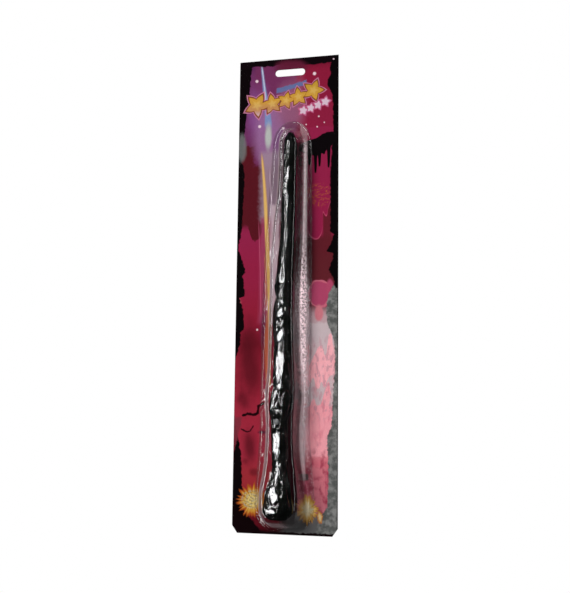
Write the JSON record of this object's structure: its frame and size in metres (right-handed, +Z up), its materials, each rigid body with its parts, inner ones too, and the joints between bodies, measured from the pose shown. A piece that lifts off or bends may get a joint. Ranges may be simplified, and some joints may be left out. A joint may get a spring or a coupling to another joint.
{
  "type": "magic wand",
  "caption": "Gnarled black light-and-sound magic wand with a press button, packed upright in a clear blister on a printed hanging card.",
  "frame": {"origin": "middle of the card's bottom edge in X and Z, and the middle of the pack's depth in Y", "axes": "+Z up along the card's height, +Y from the blister to the card's plain back, +X to the right seen from the front"},
  "size_m": [0.1, 0.034, 0.46],
  "materials": {
    "card_print": "varnished full-colour print in purple, crimson, black and gold",
    "clear_sheet": "clear thermoformed polyester sheet",
    "wand_plastic": "glossy moulded black plastic with a carved root relief",
    "button_plastic": "satin black plastic",
    "epoxy": "satin black resin",
    "circuit_board": "green solder mask",
    "resistor": "tan lacquer with colour rings",
    "led_lens": "water-clear epoxy",
    "steel": "zinc-plated steel",
    "cell_can": "nickel-plated can",
    "magnet": "dark ferrite",
    "speaker_paper": "pressed paper cone",
    "wire_red": "insulated wire",
    "wire_black": "insulated wire"
  },
  "bodies": {
    "wand": {"front_shell": "wand_plastic", "rear_shell": "wand_plastic", "switch_body": "epoxy", "circuit_board": "circuit_board", "sound_chip": "epoxy", "led_resistor": "resistor", "tip_led": "led_lens", "led_lead_positive": "steel", "led_lead_negative": "steel", "led_wire_red": "wire_red", "led_wire_black": "wire_black", "speaker_frame": "steel", "speaker_cone": "speaker_paper", "speaker_magnet": "magnet", "speaker_wire_red": "wire_red", "speaker_wire_black": "wire_black", "battery_cell_1": "cell_can", "battery_cell_2": "cell_can", "battery_cell_3": "cell_can", "battery_contact_positive": "steel", "battery_contact_negative": "steel", "battery_spring": "steel", "battery_wire_red": "wire_red", "battery_wire_black": "wire_black", "shell_screw_1": "steel", "shell_screw_2": "steel", "shell_screw_3": "steel", "shell_screw_4": "steel"},
    "push_button": {"push_button": "button_plastic", "switch_plunger": "button_plastic"},
    "battery_door": {"battery_door": "wand_plastic", "battery_door_screw": "steel"},
    "blister": {"blister_shell": "clear_sheet"},
    "backing_card": {"backing_card": "card_print"}
  },
  "joints": [
    {"name": "button_press", "type": "slide", "parent": "wand", "child": "push_button", "axis": [0.2418, 0.9703, -0.006], "range_m": [0, 0.0008], "stiffness_N_per_m": 400, "springref_m": -0.0004},
    {"name": "blister_peel", "type": "slide", "parent": "wand", "child": "blister", "axis": [0, -1, 0], "range_m": [0, 0.06]},
    {"name": "card_lift", "type": "slide", "parent": "wand", "child": "backing_card", "axis": [0, 1, 0], "range_m": [0, 0.06]},
    {"name": "battery_door_lift", "type": "slide", "parent": "wand", "child": "battery_door", "axis": [0.2418, 0.9703, -0.006], "range_m": [0, 0.02]}
  ],
  "couplings": [
    {"joint": "battery_door_lift", "follows": "card_lift", "ratio": 0.333}
  ]
}
